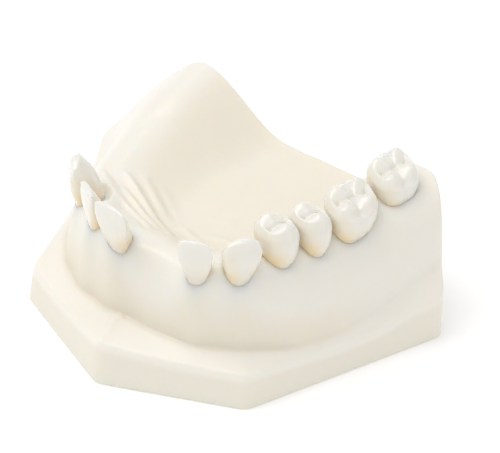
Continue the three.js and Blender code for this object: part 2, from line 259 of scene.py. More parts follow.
class Tooth:
    """One tooth's frame and size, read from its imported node, its screw's node and its pull joint.

    Local X runs along the arch, Y outward across it and Z up the long axis, with the top at Z = 0.
    """

    def __init__(self, name):
        self.name = name
        self.screw = f"{name}_screw"
        self.family = name.rsplit("_", 1)[1]
        self.shape = FAMILIES[self.family]
        joint = next(j for j in frame["joints"] if j["name"] == f"{name}_pull")
        up = np.array(joint["axis"], float)
        up /= np.linalg.norm(up)
        outward = up[:2] / np.linalg.norm(up[:2])
        along = np.array([outward[1], -outward[0], 0.0])
        self.axes = np.column_stack([along, np.cross(up, along), up])
        tooth_points = node_points(name) @ self.axes
        screw_points = node_points(self.screw) @ self.axes
        middle = (screw_points.min(0) + screw_points.max(0)) / 2
        self.root_end = -self.shape["crown"] - ROOT_LENGTH
        top = tooth_points[:, 2].min() - self.root_end
        local_origin = np.array([middle[0], middle[1], top])
        self.origin = self.axes @ local_origin
        self.head_end = screw_points[:, 2].min() - top
        self.screw_tip = screw_points[:, 2].max() - top
        self.side = 1.0 if self.origin[0] > 0 else -1.0
        self.lean = self.shape["skew"] * self.side
        squared = (tooth_points[:, 0] - middle[0]) - self.lean * (tooth_points[:, 1] - middle[1])
        self.width = squared.max() - squared.min()

    def to_local(self, points):
        return (points - self.origin) @ self.axes

    def to_frame(self, points):
        return self.origin + points @ self.axes.T

    def section_at(self, height):
        """Half width, outer and inner half depth at local heights, on a smooth curve down the tooth."""
        shape = self.shape
        neck_width = min(NECK_SHARE * self.width, shape["neck"])
        rows = [(self.root_end,) + (shape["root_end"],) * 3]
        rows.append((-shape["crown"] - ROOT_SHOULDER, neck_width, shape["neck"], shape["neck"]))
        for share, half_width, outer, inner in reversed(shape["levels"]):
            rows.append((-share * shape["crown"], half_width * self.width, outer, inner))
        table = np.array(rows)
        return [smooth_curve(height, table[:, 0], table[:, k]) for k in (1, 2, 3)]

    def outer_power(self, height):
        """Squareness of the outer half: full over the crown's upper half, fading to the neck."""
        crown = self.shape["crown"]
        plain = self.shape["squareness"]
        share = step01((height + 0.95 * crown) / (0.45 * crown))
        return plain + (self.shape["outer_squareness"] - plain) * share

    def pinched(self, depth):
        """Share of the width left at a depth of 1 (outer) to -1 (inner)."""
        return 1 - self.shape["pinch"] * (1 - np.clip(depth, -1.0, 1.0)) / 2

    def beside(self, points, highest=0.0):
        """Rough distance of points outward from the tooth's side, at their own heights.

        Points over the highest local height are measured from the section at that height.
        """
        local = self.to_local(points)
        height = np.minimum(local[..., 2], highest)
        half_width, outer, inner = self.section_at(height)
        half_depth = (outer + inner) / 2
        depth = (local[..., 1] - (outer - inner) / 2) / half_depth
        x = local[..., 0] - self.lean * local[..., 1]
        n = np.where(depth > 0, self.outer_power(height), self.shape["squareness"])
        across = np.abs(x / (half_width * self.pinched(depth)))
        radius = (across**n + np.abs(depth) ** n) ** (1 / n)
        return (radius - 1) * np.minimum(half_width, half_depth), local


teeth = [Tooth(name) for name in frame["bodies"] if f"{name}_screw" in frame["bodies"]]

# ---- Tooth surfaces ----

TOOTH_SIDES = 112
ROOT_RINGS = 18
CROWN_RINGS = 44
CAP_RINGS = 30
ROOT_ROUND = 0.5
EDGE_ROUND_SHARE = 0.03


def line_ridge(x, y, start, end, spread):
    """Bell curve of the distance to the straight line from start to end."""
    along = np.subtract(end, start)
    share = ((x - start[0]) * along[0] + (y - start[1]) * along[1]) / (along @ along)
    share = np.clip(share, 0.0, 1.0)
    return bump_of(np.hypot(x - start[0] - share * along[0], y - start[1] - share * along[1]), spread)


def incisor_relief(x, half):
    """Biting edge: rounded corners, the far one rounder, with three faint lobes."""
    far = np.maximum(0.0, -x / half)
    return -0.25 * np.abs(x / half) ** 4 - 0.5 * far**3 + 0.02 * np.cos(3 * np.pi * x / half)


def canine_relief(x, half):
    """Two slopes that meet in a soft point, the far slope the longer one."""
    shifted = x / half - 0.06
    return 0.25 - 1.25 * np.sqrt(shifted**2 + 0.05)


def premolar_relief(x, y, half):
    """Outer and inner cusp, two end ridges, a ridge down each cusp, a middle groove and two pits."""
    cusps = 1.55 * hill(x, y - 2.7, 2.7, 1.9) + 1.2 * hill(x - 0.3, y + 2.9, 2.5, 1.8)
    ends = 0.6 * hill(np.abs(x) - 0.8 * half, y, 0.8, 2.4)
    ridges = 0.25 * line_ridge(x, y, (0.0, 2.2), (0.0, 0.5), 0.6)
    ridges += 0.2 * line_ridge(x, y, (0.2, -2.4), (0.1, -0.7), 0.55)
    groove = 0.32 * line_ridge(x, y, (-0.52 * half, -0.1), (0.52 * half, -0.1), 0.32)
    pits = 0.25 * hill(np.abs(x) - 0.52 * half, y, 0.55, 0.75)
    forks = 0.16 * line_ridge(np.abs(x), y, (0.5 * half, 0.0), (0.78 * half, 1.5), 0.28)
    forks += 0.16 * line_ridge(np.abs(x), y, (0.5 * half, 0.0), (0.78 * half, -1.5), 0.28)
    return -1.6 + cusps + ends + ridges - groove - pits - forks


def molar_relief(x, y, half):
    """Four cusps with ridges running in, end ridges, and middle, outer and inner grooves."""
    cusps = 1.3 * hill(x - 2.7, y - 2.9, 2.3, 2.0) + 1.25 * hill(x + 2.7, y - 2.9, 2.2, 1.9)
    cusps += 1.35 * hill(x - 2.6, y + 2.9, 2.4, 2.1) + 1.15 * hill(x + 2.7, y + 2.9, 2.1, 1.9)
    ends = 0.6 * hill(np.abs(x) - 0.85 * half, y, 0.9, 2.8)
    ridges = 0.0
    for start in ((2.6, 2.7), (-2.6, 2.7), (2.5, -2.6), (-2.6, -2.7)):
        ridges = ridges + 0.2 * line_ridge(x, y, start, (0.35 * start[0], 0.35 * start[1]), 0.85)
    ridges = ridges + 0.14 * line_ridge(x, y, (1.7, -1.8), (-1.7, 1.7), 0.75)
    grooves = 0.24 * line_ridge(x, y, (-0.6 * half, 0.0), (0.6 * half, 0.1), 0.38)
    grooves += 0.3 * line_ridge(x, y, (0.1, 0.2), (0.1, 5.4), 0.4)
    grooves += 0.26 * line_ridge(x, y, (-0.7, -0.3), (-1.0, -5.2), 0.4)
    for turn in (-1.0, 1.0):
        grooves += 0.16 * line_ridge(x, y, (0.6 * half, 0.1), (0.78 * half, 1.7 * turn), 0.3)
        grooves += 0.16 * line_ridge(x, y, (-0.6 * half, 0.0), (-0.78 * half, 1.7 * turn), 0.3)
    pits = 0.2 * hill(x, y, 0.6, 0.6) + 0.2 * hill(np.abs(x) - 0.6 * half, y, 0.55, 0.7)
    return -1.7 + cusps + ends + ridges - grooves - pits


def relief(tooth, x, y):
    """Height of the biting edge or chewing face over the tooth's top, at local places."""
    half = tooth.width / 2
    toward_middle = tooth.side * x
    if tooth.family == "incisor":
        return incisor_relief(toward_middle, half)
    if tooth.family == "canine":
        return canine_relief(toward_middle, half)
    if tooth.family == "premolar":
        return premolar_relief(toward_middle, y, half)
    return molar_relief(toward_middle - tooth.shape["skew"] * y, y, half)


def face_swell(tooth, x, share):
    """Depth added to the outer face: lobes on front teeth, a middle swell or groove on back teeth."""
    across = x / tooth.width
    high = np.clip(1.0 - share, 0.0, 1.0)
    if tooth.family == "incisor":
        return -0.07 * bump_of(np.abs(across) - 0.19, 0.08) * high + 0.1 * bump_of(across, 0.3)
    if tooth.family == "canine":
        return 0.3 * bump_of(across, 0.13) * (0.4 + 0.6 * high)
    if tooth.family == "premolar":
        return 0.22 * bump_of(across, 0.15) * (0.4 + 0.6 * high)
    return -0.3 * bump_of(across - 0.01 * tooth.side, 0.07) * step01(1.2 * high)


def section_ring(tooth, height, shrink, drop, sink, grow):
    """Rounded rectangles at local heights, one ring to a row, with the relief of the top laid on.

    x = half width times cosine and y = half depth times sine, each raised to 2 over the squareness.
    x is narrowed toward the inner side, then leaned, and z = height + a share of the relief there.
    """
    half_width, outer, inner = tooth.section_at(height)
    half_depth = (outer + inner) / 2
    angle = np.linspace(0.0, 2 * np.pi, TOOTH_SIDES, endpoint=False)[None, :]
    outer_power = tooth.outer_power(height)[:, None]
    power = 2 / np.where(np.sin(angle) > 0, outer_power, tooth.shape["squareness"])
    cosine = np.sign(np.cos(angle)) * np.abs(np.cos(angle)) ** power
    sine = np.sign(np.sin(angle)) * np.abs(np.sin(angle)) ** power
    x = (half_width + grow)[:, None] * cosine * tooth.pinched(sine) * shrink[:, None]
    share = -height[:, None] / tooth.shape["crown"]
    on_crown = step01((1.15 - share) / 0.2)
    swell = face_swell(tooth, x, share) * np.maximum(0.0, sine) * on_crown * shrink[:, None]
    y = ((outer - inner) / 2)[:, None] + (half_depth + grow)[:, None] * sine * shrink[:, None] + swell
    x = x + tooth.lean * y
    z = (height - sink)[:, None] + drop[:, None] * relief(tooth, x, y)
    return np.stack([x, y, z], -1)


def tooth_rings(tooth, grow=0.0):
    """Rings up the root and the crown and then in over the top, in the tooth's own frame."""
    crown = tooth.shape["crown"]
    first_share = max(tooth.shape["levels"][0][0], EDGE_ROUND_SHARE)
    root = np.linspace(tooth.root_end, -crown, ROOT_RINGS, endpoint=False)
    wall = np.linspace(-crown, -first_share * crown, CROWN_RINGS)
    body = np.concatenate([root, wall])
    fade = step01((RELIEF_FADE + body / crown) / RELIEF_FADE + 0.2)
    shrink = 1 - (1 - 0.86) * bump_of(body - tooth.root_end, ROOT_ROUND)
    sides = section_ring(tooth, body, shrink, fade, 0.0 * body, grow)
    inward = np.linspace(0.0, 1.0, CAP_RINGS + 1)[1:-1]
    lift = first_share * crown * (1 - (1 - inward) ** 3)
    level = np.full(len(inward), -first_share * crown)
    cap = section_ring(tooth, level, (1 - inward) ** 0.9, np.ones(len(inward)), -lift - grow, grow)
    rings = np.concatenate([sides, cap])
    rings[0, :, 2] -= grow
    return rings


# ---- Meshes ----


def closed_mesh(name, rings, first=None, last=None):
    """Closed mesh from rings of equal length, its ends drawn to the middles of the end rings."""
    count, sides = rings.shape[:2]
    first = rings[0].mean(0) if first is None else np.asarray(first, float)
    last = rings[-1].mean(0) if last is None else np.asarray(last, float)
    points = np.concatenate([rings.reshape(-1, 3), [first, last]])
    here = np.arange(sides)
    after = (here + 1) % sides
    row = (np.arange(count - 1) * sides)[:, None]
    quads = np.stack([row + here, row + after, row + sides + after, row + sides + here], -1)
    top = (count - 1) * sides
    ends = count * sides
    fan = np.concatenate([
        np.stack([after, here, np.full(sides, ends)], -1),
        np.stack([top + here, top + after, np.full(sides, ends + 1)], -1),
    ])
    if enclosed_volume(points, quads.reshape(-1, 4), fan) < 0:
        quads = quads[..., ::-1]
        fan = fan[:, ::-1]
    mesh = bpy.data.meshes.new(name)
    mesh.from_pydata((points * MM).tolist(), [], quads.reshape(-1, 4).tolist() + fan.tolist())
    mesh.update()
    return mesh


def enclosed_volume(points, quads, fan):
    """Signed volume inside the faces, positive when they point outward."""
    triangles = np.concatenate([quads[:, [0, 1, 2]], quads[:, [0, 2, 3]], fan])
    a, b, c = (points[triangles[:, k]] for k in range(3))
    return float(np.einsum("ij,ij->i", a, np.cross(b, c)).sum()) / 6


def add_object(name, mesh):
    piece = bpy.data.objects.new(name, mesh)
    bpy.context.scene.collection.objects.link(piece)
    return piece


def cut(piece, *cutters):
    """Takes the cutters out of the piece and keeps the result as its mesh."""
    for cutter in cutters:
        change = piece.modifiers.new("cut", "BOOLEAN")
        change.operation = "DIFFERENCE"
        change.solver = "MANIFOLD"
        change.object = cutter
    bpy.context.view_layer.update()
    shown = piece.evaluated_get(bpy.context.evaluated_depsgraph_get())
    result = bpy.data.meshes.new_from_object(shown)
    piece.modifiers.clear()
    piece.data = result
    for cutter in cutters:
        bpy.data.objects.remove(cutter)


def shade(piece, crease_degrees=38.0):
    """Smooth shading, kept sharp over edges that turn more than the crease angle."""
    mesh = piece.data
    mesh.polygons.foreach_set("use_smooth", np.ones(len(mesh.polygons), bool))
    mesh.set_sharp_from_angle(angle=math.radians(crease_degrees))
    mesh.update()


def mesh_points(piece):
    """Corners of a piece's mesh in millimetres."""
    flat = np.empty(3 * len(piece.data.vertices))
    piece.data.vertices.foreach_get("co", flat)
    return flat.reshape(-1, 3) / MM


def paint(piece, name, values):
    """Stores one number for each corner of the mesh as a named attribute."""
    layer = piece.data.attributes.new(name, "FLOAT", "POINT")
    layer.data.foreach_set("value", np.asarray(values, np.float32))


def finish_piece(piece, body, node, material):
    piece.data.materials.clear()
    piece.data.materials.append(material)
    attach(piece, body)
    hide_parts(node)


def turned_rings(profile, sides):
    """Rings of a turned shape: each profile pair is a radius and a height."""
    profile = np.asarray(profile, float)
    angle = np.linspace(0.0, 2 * np.pi, sides, endpoint=False)[None, :]
    radius, height = profile[:, :1], profile[:, 1:]
    return np.stack([radius * np.cos(angle), radius * np.sin(angle), height + 0 * angle], -1)


# ---- Jaw surface ----

# Base outline at the underside, right half; the left half mirrors it.
FRONT_POINT = (0.0, -30.7)
CANINE_CORNER = (25.0, -19.6)
SIDE_CORNER = (39.2, 19.4)
HEEL_CORNER = (28.0, 30.4)
CORNER_ROUND = 1.6
WALL_TAPER = 0.02
TAPER_END = 19.0
TAPER_FADE = 8.0
RIDGE_CURVE = np.array([(0, -17.6), (20.2, -17.6), (22.8, -2.5), (25.75, 30.4)])
HUB = np.array([0.0, 4.0])
CREST_SET_BACK = 1.6
VAULT_HEIGHT = 16.8
VAULT_FRONT_RISE = 2.6
PAPILLA_RISE = 1.3
ROOT_HOLLOW = 0.5
HOLLOW_SPREAD = 5.0
SWELL_REACH = 12.0
HOLLOW_SHARE = 0.85
GUM_ROLL = 0.32
GUM_ROLL_SPREAD = 0.7
POINT_RISE = 0.9
BARE_RISE = 0.26
SEAM_DEPTH = 0.12
FOOT_BLEND = 0.8
ROOT_BULGE = 0.75
ROOT_BULGE_OUT = 4.2
BULGE_GAP = 1.2
FOOT_GROOVE = 0.42

# Ridge stations from the left heel (-1) over the midline (0) to the right heel (1).
STATION_PLACES = [-1.0, -0.88, -0.77, -0.62, -0.5, -0.38, -0.22, -0.1, 0.0]
STATION_PLACES += [0.1, 0.22, 0.38, 0.52, 0.64, 0.76, 0.87, 1.0]
CREST = [26.4, 25.2, 22.8, 21.0, 21.0, 22.0, 22.4, 22.6, 22.2]
CREST += [21.9, 22.6, 22.6, 23.0, 23.3, 23.9, 25.4, 25.4]
REACH = [12.4, 11.4, 8.8, 7.4, 6.4, 5.3, 4.4, 3.9, 3.5, 3.8, 4.4, 5.3, 6.8, 7.6, 8.4, 10.4, 12.0]
POWER = [1.5, 1.7, 2.3, 3.0, 4.0, 7.0, 8.0, 8.0, 2.9, 2.6, 8.0, 5.4, 3.4, 3.2, 3.5, 5.0, 6.0]
LAND = [13.5, 12.0, 8.8, 7.8, 8.0, 8.5, 8.7, 8.9, 9.0, 8.9, 8.7, 8.5, 8.0, 7.6, 8.8, 12.2, 14.5]
RIM = [11.0, 9.8, 6.4, 5.6, 6.4, 6.9, 6.7, 7.6, 8.5, 7.6, 6.7, 6.7, 5.9, 5.1, 5.6, 8.8, 11.0]
SLOPE = [20, 18, 15, 14, 13, 12, 11.5, 11.5, 11.5, 11.5, 11.5, 12, 13, 13, 13, 13, 12.5]

# Raised lines on the casting: start, bend and end in plan, then height (below 0 for a groove) and
# spread.
FOLDS = [
    ((-17.6, -1.0), (-10.4, -4.2), (-1.6, -8.3), 1.4, 0.95),
    ((-15.2, -5.0), (-8.8, -7.0), (-3.4, -9.3), 1.15, 0.75),
    ((-14.4, -8.6), (-10.9, -9.2), (-4.4, -10.7), 0.95, 0.7),
    ((-15.0, 1.2), (-10.8, -0.7), (-5.4, -3.6), 0.7, 1.0),
    ((-12.2, 2.6), (-8.8, 1.0), (-5.2, -1.0), 0.25, 0.9),
    ((-22.0, -4.0), (-17.6, -6.6), (-13.0, -10.6), 2.2, 1.8),
    ((-22.6, -1.6), (-19.6, -3.4), (-15.2, -5.4), -0.45, 0.7),
    ((-13.0, -12.4), (-9.4, -14.2), (-5.6, -15.2), 0.7, 1.3),
    ((-6.6, -10.8), (-5.2, -11.6), (-4.0, -12.6), -0.35, 0.5),
    ((-2.8, -3.2), (0.2, -3.9), (3.4, -5.2), 0.35, 0.78),
    ((2.0, -2.1), (5.0, -1.2), (8.3, -0.9), 0.3, 0.78),
    ((6.0, -6.6), (9.6, -5.4), (13.0, -5.0), 0.35, 0.78),
    ((-22.8, 13.0), (-20.4, 15.6), (-12.6, 16.0), -0.4, 1.5),
    ((0.3, -31.5), (-1.4, -24.6), (-2.9, -19.0), 0.5, 0.7),
]
FOLD_REACH = 13.0
PULL_GAP = 0.25
FOLD_FADE = 1.3
FOLD_STEPS = 33

SPOKES = 500
INNER_RINGS = 66
WALL_RINGS = 66
LEDGE_RINGS = 22
RIM_ROUND = 0.75
RIM_RINGS = 6
SIDE_RINGS = 5
FOOT_ROUND = 0.3
FOOT_RINGS = 3
FLOOR_RINGS = 3
SPOKE_SAMPLES = 340


def cubic_curve(points, count):
    """Points along the cubic with these four control points."""
    t = np.linspace(0.0, 1.0, count)[:, None]
    a, b, c, d = points
    return (1 - t) ** 3 * a + 3 * (1 - t) ** 2 * t * b + 3 * (1 - t) * t**2 * c + t**3 * d


ridge_line = cubic_curve(RIDGE_CURVE, 401)


def ridge_place(x, y):
    """Place along the ridge and distance outward from it, by the nearest stretch of its line."""
    flat = np.column_stack([np.abs(x).ravel(), y.ravel()])
    pieces = np.array_split(flat, len(flat) // 8000 + 1)
    nearest = np.concatenate([
        ((piece[:, None, :] - ridge_line[None]) ** 2).sum(2).argmin(1) for piece in pieces
    ])
    last = len(ridge_line) - 1
    low = np.maximum(nearest - 1, 0)
    high = np.minimum(nearest + 1, last)
    along = ridge_line[high] - ridge_line[low]
    offset = flat - ridge_line[low]
    share = np.clip((offset * along).sum(1) / (along**2).sum(1), 0.0, 1.0)
    place = (low + share * (high - low)) / last
    outward = (offset[:, 0] * along[:, 1] - offset[:, 1] * along[:, 0]) / np.hypot(*along.T)
    return np.copysign(place, x.ravel()).reshape(x.shape), outward.reshape(x.shape)


def rim_distance(x, y):
    """Distance inward from the nearer of the front and side edges of the outline."""
    distance = np.full(x.shape, np.inf)
    for (ax, ay), (bx, by) in ((FRONT_POINT, CANINE_CORNER), (CANINE_CORNER, SIDE_CORNER)):
        length = math.hypot(bx - ax, by - ay)
        inward = ((by - ay) * (ax - np.abs(x)) - (bx - ax) * (ay - y)) / length
        distance = np.minimum(distance, inward)
    return np.maximum(0.0, distance)


def root_swell(x, y):
    """Change of the outer wall's reach: hollows between the roots, a slight swell over each."""
    hollow = np.zeros(x.shape)
    swell = np.zeros(x.shape)
    for tooth in teeth:
        axis_x, axis_y = tooth.to_frame(np.array([0.0, 0.0, -tooth.shape["crown"]]))[:2]
        along = (x - axis_x) * tooth.axes[0, 0] + (y - axis_y) * tooth.axes[1, 0]
        away = np.hypot(x - axis_x, y - axis_y)
        hollow = np.maximum(hollow, bump_of(np.maximum(0.0, away - 4.0), HOLLOW_SPREAD))
        swell = np.maximum(swell, bump_of(along, 0.36 * tooth.width) * bump_of(away, SWELL_REACH))
    return ROOT_HOLLOW * hollow * (swell - HOLLOW_SHARE)


def jaw_height(x, y):
    """Height of the moulded surface: ridge with its inner slope, palate, outer wall and ledge."""
    place, outward = ridge_place(x, y)
    crest, reach, power, land, rim, slope = (
        smooth_curve(place, STATION_PLACES, values) for values in (CREST, REACH, POWER, LAND, RIM, SLOPE)
    )
    reach = reach + root_swell(x, y)
    from_crest = outward + CREST_SET_BACK
    vault = VAULT_HEIGHT + VAULT_FRONT_RISE * bump_of(y + 17, 8.0)
    vault = vault + PAPILLA_RISE * hill(x, y + 12.5, 2.2, 2.6)
    inner = crest - (crest - vault) * step01(-from_crest / slope)
    share = np.maximum(0.0, from_crest) / (reach + CREST_SET_BACK)
    wall = crest - (crest - land) * share**power
    edge = rim_distance(x, y)
    beyond = np.maximum(0.0, outward - reach)
    ledge = rim + (land - rim) * (edge / (edge + beyond + 1e-6))
    surface = rounded_max(np.where(from_crest < 0, inner, wall), ledge, FOOT_BLEND)
    bare = step01((-place - 0.44) / 0.1) * step01((0.84 + place) / 0.12)
    groove = FOOT_GROOVE * bump_of(outward - reach - 0.3, 0.9) * step01((0.62 - np.abs(place)) / 0.15)
    return surface + BARE_RISE * bare * bump_of(from_crest, 1.3) - groove


def fold_relief(x, y):
    """Raised lines, each along a bent line and clear of the teeth's way out, and a faint middle seam."""
    total = -SEAM_DEPTH * bump_of(x, 1.6) * step01((y + 9.0) / 8.0)
    clear = np.ones(x.shape)
    low = np.stack([x, y, np.full(x.shape, CREST[8])], -1)
    for tooth in teeth:
        beside = tooth.beside(low, -0.85 * tooth.shape["crown"])[0]
        clear = np.minimum(clear, step01((beside - PULL_GAP) / FOLD_FADE))
    t = np.linspace(0.0, 1.0, FOLD_STEPS)
    for start, bend, end, height, spread in FOLDS:
        line_x, line_y = (
            (1 - t) ** 2 * start[k] + 2 * (1 - t) * t * bend[k] + t**2 * end[k] for k in (0, 1)
        )
        near = (np.abs(x - bend[0]) < FOLD_REACH) & (np.abs(y - bend[1]) < FOLD_REACH)
        px, py = x[near][:, None], y[near][:, None]
        gap = (px - line_x) ** 2 + (py - line_y) ** 2
        nearest = gap.argmin(1)
        taper = np.sin(np.pi * np.clip(0.08 + 0.84 * t[nearest], 0.0, 1.0)) ** 0.6
        total[near] += height * taper * np.exp(-gap.min(1) / spread**2) * clear[near]
    return total


def gum_relief(x, y, z):
    """Rolled gum edge and root bulge at each tooth, and a raised point of gum between neighbours."""
    total = np.zeros(x.shape)
    points = np.stack([x, y, z], -1)
    for tooth in teeth:
        beside, local = tooth.beside(points)
        high = step01((local[..., 2] + tooth.shape["crown"] + 5.0) / 3.5)
        total += GUM_ROLL * high * bump_of(np.maximum(0.0, beside), GUM_ROLL_SPREAD)
        across = (local[..., 0] - tooth.lean * local[..., 1]) / tooth.width
        front = local[..., 1] - ROOT_BULGE_OUT
        total += ROOT_BULGE * hill(across, front, 0.33, 1.7) * step01(beside / BULGE_GAP) * high
    for tooth, neighbour in neighbours():
        start = tooth.to_frame(np.array([0.0, 0.0, -tooth.shape["crown"]]))
        end = neighbour.to_frame(np.array([0.0, 0.0, -neighbour.shape["crown"]]))
        middle = (start + end)[:2] / 2
        along = (end - start)[:2] / np.linalg.norm((end - start)[:2])
        dx, dy = x - middle[0], y - middle[1]
        step, side = dx * along[0] + dy * along[1], dx * along[1] - dy * along[0]
        total += POINT_RISE * hill(step, side, 1.3, 2.6)
    return total


def neighbours():
    """Pairs of teeth that stand side by side, their middles under 0.62 of their summed widths apart."""
    for index, tooth in enumerate(teeth):
        for other in teeth[index + 1:]:
            if np.hypot(*(tooth.origin - other.origin)[:2]) < 0.62 * (tooth.width + other.width):
                yield tooth, other


def base_outline(count):
    """The outline, anticlockwise from the front, rounded at its corners, at even steps."""
    right = [FRONT_POINT, CANINE_CORNER, SIDE_CORNER, HEEL_CORNER]
    corners = np.array(right + [(-x, y) for x, y in right[:0:-1]])
    before = np.roll(corners, 1, 0) - corners
    after = np.roll(corners, -1, 0) - corners
    entry = corners + CORNER_ROUND * before / np.linalg.norm(before, axis=1)[:, None]
    leave = corners + CORNER_ROUND * after / np.linalg.norm(after, axis=1)[:, None]
    t = np.linspace(0.0, 1.0, 9)[None, :, None]
    arcs = (1 - t) ** 2 * entry[:, None] + 2 * (1 - t) * t * corners[:, None] + t**2 * leave[:, None]
    line = arcs.reshape(-1, 2)
    line = np.vstack([line, line[:1]])
    length = np.concatenate([[0.0], np.cumsum(np.hypot(*np.diff(line, axis=0).T))])
    at = np.linspace(0.0, length[-1], count, endpoint=False)
    return np.column_stack([np.interp(at, length, line[:, k]) for k in (0, 1)])


def even_places(heights, plan_lengths, start, end, count):
    """Shares of each spoke, evenly spaced by the surface's length, past start and up to end.

    Each spoke's length along the surface is summed, and the wanted lengths are looked up in it; rows
    are kept apart in one sorted line by adding a whole number of the longest length to each.
    """
    samples = heights.shape[1]
    step = np.hypot(np.diff(heights, axis=1), plan_lengths[:, None] / (samples - 1))
    length = np.concatenate([np.zeros((len(heights), 1)), np.cumsum(step, 1)], 1)
    shares = np.linspace(0.0, 1.0, samples)
    rows = np.arange(len(heights))
    low = length[rows, start][:, None]
    high = length[rows, end][:, None]
    wanted = low + (high - low) * (np.arange(1, count + 1) / count)[None, :]
    offset = (rows * (length.max() + 1.0))[:, None]
    found = np.interp((wanted + offset).ravel(), (length + offset).ravel(), np.tile(shares, len(rows)))
    return found.reshape(wanted.shape)


def jaw_rings():
    """Rings of the whole casting from the hub out over the ridge and ledge, down and in below.

    Every spoke runs from the hub to one point of the outline. Its places are spaced by length along
    the surface, in zones that end at the crest, at the foot of the wall and where the rim rounds.
    """
    outline = base_outline(SPOKES)
    taper = WALL_TAPER * (1 - step01((outline[:, 1] - TAPER_END + TAPER_FADE) / TAPER_FADE))
    rim = outline * (1 - taper)[:, None]
    plan_lengths = np.hypot(*(rim - HUB).T)
    shares = np.linspace(0.0, 1.0, SPOKE_SAMPLES)
    plan = HUB + shares[None, :, None] * (rim - HUB)[:, None, :]
    x, y = plan[..., 0], plan[..., 1]
    place, outward = ridge_place(x, y)
    reach = smooth_curve(place, STATION_PLACES, REACH)
    inset = ((1 - RIM_ROUND / plan_lengths) * (SPOKE_SAMPLES - 1)).astype(int)
    crest_at = np.where(outward > -CREST_SET_BACK, np.arange(SPOKE_SAMPLES), SPOKE_SAMPLES).min(1)
    crest_at = np.minimum(crest_at, (0.8 * SPOKE_SAMPLES)).astype(int)
    foot_at = np.where(outward > reach, np.arange(SPOKE_SAMPLES), SPOKE_SAMPLES).min(1)
    foot_at = np.minimum(foot_at, (0.96 * inset).astype(int))
    heights = jaw_height(x, y)
    zones = [
        even_places(heights, plan_lengths, 0 * crest_at, crest_at, INNER_RINGS),
        even_places(heights, plan_lengths, crest_at, foot_at, WALL_RINGS),
        even_places(heights, plan_lengths, foot_at, inset, LEDGE_RINGS),
    ]
    turn = np.linspace(0.0, np.pi / 2, RIM_RINGS + 1)[None, 1:]
    into = RIM_ROUND * (1 - np.sin(turn))
    zones.append(1 - into / plan_lengths[:, None])
    at = np.concatenate(zones, 1)
    at[:, -RIM_RINGS - 1] = 1 - RIM_ROUND / plan_lengths
    surface = HUB + at[..., None] * (rim - HUB)[:, None, :]
    x, y = surface[..., 0], surface[..., 1]
    z = jaw_height(x, y)
    z = z + fold_relief(x, y) + gum_relief(x, y, z)
    from_edge = np.clip((1 - at) * plan_lengths[:, None], 0.0, RIM_ROUND)
    z = z - (RIM_ROUND - np.sqrt(RIM_ROUND**2 - (RIM_ROUND - from_edge) ** 2))
    top = np.stack([x, y, z], -1).transpose(1, 0, 2)
    down = np.linspace(1.0, 0.0, SIDE_RINGS + 1)[1:, None]
    side_z = FOOT_ROUND + down * (top[-1, :, 2] - FOOT_ROUND)[None]
    side_plan = outline[None] + down[..., None] * (rim - outline)[None]
    sides = np.concatenate([side_plan, side_z[..., None]], -1)
    turn = np.linspace(0.0, np.pi / 2, FOOT_RINGS + 1)[1:, None, None]
    unit = (outline - HUB) / np.hypot(*(outline - HUB).T)[:, None]
    foot_plan = outline[None] - FOOT_ROUND * (1 - np.cos(turn)) * unit[None]
    foot_z = np.broadcast_to(FOOT_ROUND * (1 - np.sin(turn)), foot_plan[..., :1].shape)
    foot = np.concatenate([foot_plan, foot_z], -1)
    inward = np.linspace(1.0, 0.0, FLOOR_RINGS + 1)[1:-1, None, None]
    floor_plan = HUB + inward * (foot_plan[-1] - HUB)[None]
    floor = np.concatenate([floor_plan, 0 * floor_plan[..., :1]], -1)
    rings = np.concatenate([top, sides, foot, floor])
    rings[..., 0] *= cad_bounds[1].x / MM / rings[..., 0].max()
    return rings


# ---- Screws ----

SHANK_RADIUS = 0.8
THREAD_CREST = 0.16
THREAD_PITCH = 0.45
HOLE_RADIUS = 1.02
HEAD_RADIUS = 1.8
HEAD_HEIGHT = 1.3
HEAD_CHAMFER = 0.35
SLOT_WIDTH = 0.5
SLOT_DEPTH = 0.6
TIP_LENGTH = 0.6
HOLE_SPARE = 0.8
HEAD_CLEARANCE = 0.1
HEAD_EDGE = 0.12
SHANK_FILLET = 0.15
THREAD_START = 0.3
THREAD_FADE = 0.8
RINGS_PER_TURN = 9
TIP_SHARE = 0.55
CUT_OVERLAP = 1.0
BORE_DEPTH = 8.0
SCREW_SIDES = 48
HOLE_SIDES = 64


def rod(name, radius, low, high, tooth):
    """Plain closed cylinder on a tooth's axis between two local heights."""
    rings = turned_rings([(radius, low), (radius, high)], HOLE_SIDES)
    return add_object(name, closed_mesh(name, tooth.to_frame(rings)))


